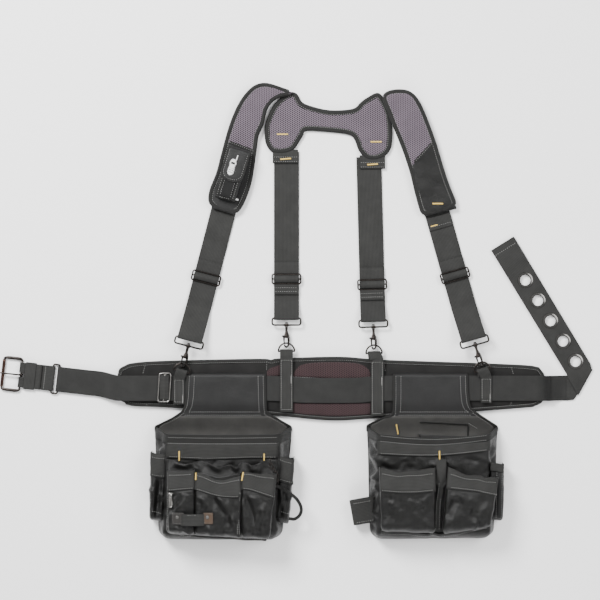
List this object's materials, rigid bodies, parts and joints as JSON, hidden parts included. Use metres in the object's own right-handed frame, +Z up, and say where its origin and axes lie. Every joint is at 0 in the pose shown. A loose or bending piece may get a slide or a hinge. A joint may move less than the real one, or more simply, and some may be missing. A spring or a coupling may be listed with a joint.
{
  "type": "tool belt",
  "caption": "Padded tool belt with suspenders, a roller buckle and sliding nylon pouches, laid out flat.",
  "frame": {"origin": "on the surface that the belt lies on, at the middle of the laid-out belt and suspenders", "axes": "+X along the belt from the buckle to the tail, +Y from the belt up the suspenders, +Z up from the surface"},
  "size_m": [1.1847, 0.91, 0.0985],
  "materials": {
    "webbing": "woven",
    "nylon": "smooth woven",
    "mesh": "spacer mesh",
    "belt_cloth": "woven",
    "gunmetal": "polished",
    "nickel": "polished",
    "copper_metal": "polished",
    "leather": "grained"
  },
  "bodies": {
    "harness": {"belt_pad": "belt_cloth", "belt_webbing": "webbing", "belt_tail": "webbing", "grommets": "nickel", "left_strap": "webbing", "ring_tabs": "webbing", "front_left_strap": "webbing", "back_left_strap": "webbing", "back_right_strap": "webbing", "front_right_strap": "webbing", "yoke": "mesh", "left_shoulder_pad": "mesh", "right_shoulder_pad": "mesh", "phone_pouch": "nylon"},
    "joining_ring": {"joining_ring": "gunmetal"},
    "buckle_strap": {"buckle_strap": "webbing"},
    "buckle_frame": {"buckle_frame": "gunmetal"},
    "buckle_roller": {"buckle_roller": "copper_metal"},
    "buckle_prong": {"buckle_prong": "gunmetal"},
    "strap_keeper": {"strap_keeper": "webbing"},
    "belt_slider": {"belt_slider": "nickel"},
    "front_left_slider": {"front_left_slider": "gunmetal"},
    "front_left_loop": {"front_left_loop": "gunmetal"},
    "front_left_hook": {"front_left_hook": "gunmetal"},
    "front_left_gate": {"front_left_gate": "gunmetal"},
    "front_left_d_ring": {"front_left_d_ring": "gunmetal"},
    "back_left_slider": {"back_left_slider": "gunmetal"},
    "back_left_loop": {"back_left_loop": "gunmetal"},
    "back_left_hook": {"back_left_hook": "gunmetal"},
    "back_left_gate": {"back_left_gate": "gunmetal"},
    "back_left_d_ring": {"back_left_d_ring": "gunmetal"},
    "back_right_slider": {"back_right_slider": "gunmetal"},
    "back_right_loop": {"back_right_loop": "gunmetal"},
    "back_right_hook": {"back_right_hook": "gunmetal"},
    "back_right_gate": {"back_right_gate": "gunmetal"},
    "back_right_d_ring": {"back_right_d_ring": "gunmetal"},
    "front_right_slider": {"front_right_slider": "gunmetal"},
    "front_right_loop": {"front_right_loop": "gunmetal"},
    "front_right_hook": {"front_right_hook": "gunmetal"},
    "front_right_gate": {"front_right_gate": "gunmetal"},
    "front_right_d_ring": {"front_right_d_ring": "gunmetal"},
    "left_pouch": {"left_pouch_panel": "nylon", "left_main_pocket": "nylon", "left_outer_pocket": "nylon", "left_lower_pockets": "nylon", "left_side_pockets": "nylon", "tape_patch": "leather", "snap_thong": "webbing", "rivets": "nickel"},
    "tape_clip": {"tape_clip": "nickel"},
    "right_pouch": {"right_pouch_panel": "nylon", "right_main_pocket": "nylon", "right_inner_pocket": "nylon", "right_lower_pockets": "nylon", "right_centre_strip": "webbing", "right_side_pocket": "nylon", "hammer_loop": "webbing"},
    "phone_flap": {"phone_flap": "nylon"}
  },
  "joints": [
    {"name": "joining_ring_fold", "type": "hinge", "parent": "harness", "child": "joining_ring", "pos_m": [-0.47422, -0.1363, 0.0044], "axis": [0.1132, 0.9936, 0], "range_deg": [0, 50]},
    {"name": "buckle_strap_fold", "type": "hinge", "parent": "joining_ring", "child": "buckle_strap", "pos_m": [-0.48714, -0.13483, 0.0044], "axis": [0.1132, 0.9936, 0], "range_deg": [0, 50]},
    {"name": "buckle_frame_fold", "type": "hinge", "parent": "buckle_strap", "child": "buckle_frame", "pos_m": [-0.54973, -0.1277, 0.0044], "axis": [0.1132, 0.9936, 0], "range_deg": [0, 35]},
    {"name": "buckle_roller_spin", "type": "hinge", "parent": "buckle_frame", "child": "buckle_roller", "pos_m": [-0.5855, -0.12362, 0.0044], "axis": [0.1132, 0.9936, 0], "continuous": true},
    {"name": "buckle_prong_swing", "type": "hinge", "parent": "buckle_frame", "child": "buckle_prong", "pos_m": [-0.54973, -0.1277, 0.0044], "axis": [0.1132, 0.9936, 0], "range_deg": [0, 80]},
    {"name": "strap_keeper_slide", "type": "slide", "parent": "buckle_strap", "child": "strap_keeper", "axis": [0.9936, -0.1132, 0], "range_m": [-0.002, 0.022]},
    {"name": "belt_slider_slide", "type": "slide", "parent": "harness", "child": "belt_slider", "axis": [1, 0, 0], "range_m": [-0.045, 0.003]},
    {"name": "front_left_slider_slide", "type": "slide", "parent": "harness", "child": "front_left_slider", "axis": [0.2504, 0.9681, 0], "range_m": [-0.03, 0.03]},
    {"name": "front_left_loop_lift", "type": "hinge", "parent": "harness", "child": "front_left_loop", "pos_m": [-0.211, -0.056, 0.022], "axis": [-0.9681, 0.2504, 0], "range_deg": [0, 8]},
    {"name": "front_left_hook_swivel", "type": "hinge", "parent": "front_left_loop", "child": "front_left_hook", "pos_m": [-0.21451, -0.06955, 0.022], "axis": [0.2504, 0.9681, 0], "range_deg": [-14, 6]},
    {"name": "front_left_gate_press", "type": "hinge", "parent": "front_left_hook", "child": "front_left_gate", "pos_m": [-0.22537, -0.0905, 0.02828], "axis": [0.7416, -0.1918, 0.6428], "range_deg": [0, 12], "stiffness_Nm_per_rad": 0.02},
    {"name": "front_left_d_ring_lift", "type": "hinge", "parent": "harness", "child": "front_left_d_ring", "pos_m": [-0.22753, -0.1199, 0.022], "axis": [0.9681, -0.2504, 0], "range_deg": [0, 24.5]},
    {"name": "back_left_slider_slide", "type": "slide", "parent": "harness", "child": "back_left_slider", "axis": [0, 1, 0], "range_m": [-0.03, 0.03]},
    {"name": "back_left_loop_lift", "type": "hinge", "parent": "harness", "child": "back_left_loop", "pos_m": [-0.019, -0.014, 0.011], "axis": [-1, 0, 0], "range_deg": [0, 8]},
    {"name": "back_left_hook_swivel", "type": "hinge", "parent": "back_left_loop", "child": "back_left_hook", "pos_m": [-0.019, -0.028, 0.011], "axis": [0, 1, 0], "range_deg": [-14, 6]},
    {"name": "back_left_gate_press", "type": "hinge", "parent": "back_left_hook", "child": "back_left_gate", "pos_m": [-0.02427, -0.051, 0.01728], "axis": [0.766, 0, 0.6428], "range_deg": [0, 12], "stiffness_Nm_per_rad": 0.02},
    {"name": "back_left_d_ring_lift", "type": "hinge", "parent": "harness", "child": "back_left_d_ring", "pos_m": [-0.019, -0.08, 0.011], "axis": [1, 0, 0], "range_deg": [0, 24.5]},
    {"name": "back_right_slider_slide", "type": "slide", "parent": "harness", "child": "back_right_slider", "axis": [-0.0262, 0.9997, 0], "range_m": [-0.02, 0.03]},
    {"name": "back_right_loop_lift", "type": "hinge", "parent": "harness", "child": "back_right_loop", "pos_m": [0.154, -0.018, 0.011], "axis": [-0.9997, -0.0262, 0], "range_deg": [0, 8]},
    {"name": "back_right_hook_swivel", "type": "hinge", "parent": "back_right_loop", "child": "back_right_hook", "pos_m": [0.15437, -0.032, 0.011], "axis": [-0.0262, 0.9997, 0], "range_deg": [-14, 6]},
    {"name": "back_right_gate_press", "type": "hinge", "parent": "back_right_hook", "child": "back_right_gate", "pos_m": [0.1497, -0.05513, 0.01728], "axis": [0.7658, 0.0201, 0.6428], "range_deg": [0, 12], "stiffness_Nm_per_rad": 0.02},
    {"name": "back_right_d_ring_lift", "type": "hinge", "parent": "harness", "child": "back_right_d_ring", "pos_m": [0.15573, -0.08398, 0.011], "axis": [0.9997, 0.0262, 0], "range_deg": [0, 24.5]},
    {"name": "front_right_slider_slide", "type": "slide", "parent": "harness", "child": "front_right_slider", "axis": [-0.2723, 0.9622, 0], "range_m": [-0.03, 0.03]},
    {"name": "front_right_loop_lift", "type": "hinge", "parent": "harness", "child": "front_right_loop", "pos_m": [0.353, -0.054, 0.022], "axis": [-0.9622, -0.2723, 0], "range_deg": [0, 8]},
    {"name": "front_right_hook_swivel", "type": "hinge", "parent": "front_right_loop", "child": "front_right_hook", "pos_m": [0.35681, -0.06747, 0.022], "axis": [-0.2723, 0.9622, 0], "range_deg": [-14, 6]},
    {"name": "front_right_gate_press", "type": "hinge", "parent": "front_right_hook", "child": "front_right_gate", "pos_m": [0.358, -0.09104, 0.02828], "axis": [0.7371, 0.2086, 0.6428], "range_deg": [0, 12], "stiffness_Nm_per_rad": 0.02},
    {"name": "front_right_d_ring_lift", "type": "hinge", "parent": "harness", "child": "front_right_d_ring", "pos_m": [0.37097, -0.11751, 0.022], "axis": [0.9622, 0.2723, 0], "range_deg": [0, 24.5]},
    {"name": "left_pouch_slide", "type": "slide", "parent": "harness", "child": "left_pouch", "axis": [1, 0, 0], "range_m": [0, 0.024]},
    {"name": "right_pouch_slide", "type": "slide", "parent": "harness", "child": "right_pouch", "axis": [1, 0, 0], "range_m": [-0.014, 0.018]},
    {"name": "tape_clip_swing", "type": "hinge", "parent": "left_pouch", "child": "tape_clip", "pos_m": [-0.249, -0.356, 0.0925], "axis": [-1, 0, 0], "range_deg": [0, 70]},
    {"name": "phone_flap_lift", "type": "hinge", "parent": "harness", "child": "phone_flap", "pos_m": [-0.11142, 0.32097, 0.016], "axis": [-0.9563, 0.2924, 0], "range_deg": [0, 75]}
  ],
  "couplings": [
    {"joint": "front_left_d_ring_lift", "follows": "front_left_loop_lift", "ratio": 3},
    {"joint": "back_left_d_ring_lift", "follows": "back_left_loop_lift", "ratio": 3},
    {"joint": "back_right_d_ring_lift", "follows": "back_right_loop_lift", "ratio": 3},
    {"joint": "front_right_d_ring_lift", "follows": "front_right_loop_lift", "ratio": 3}
  ]
}
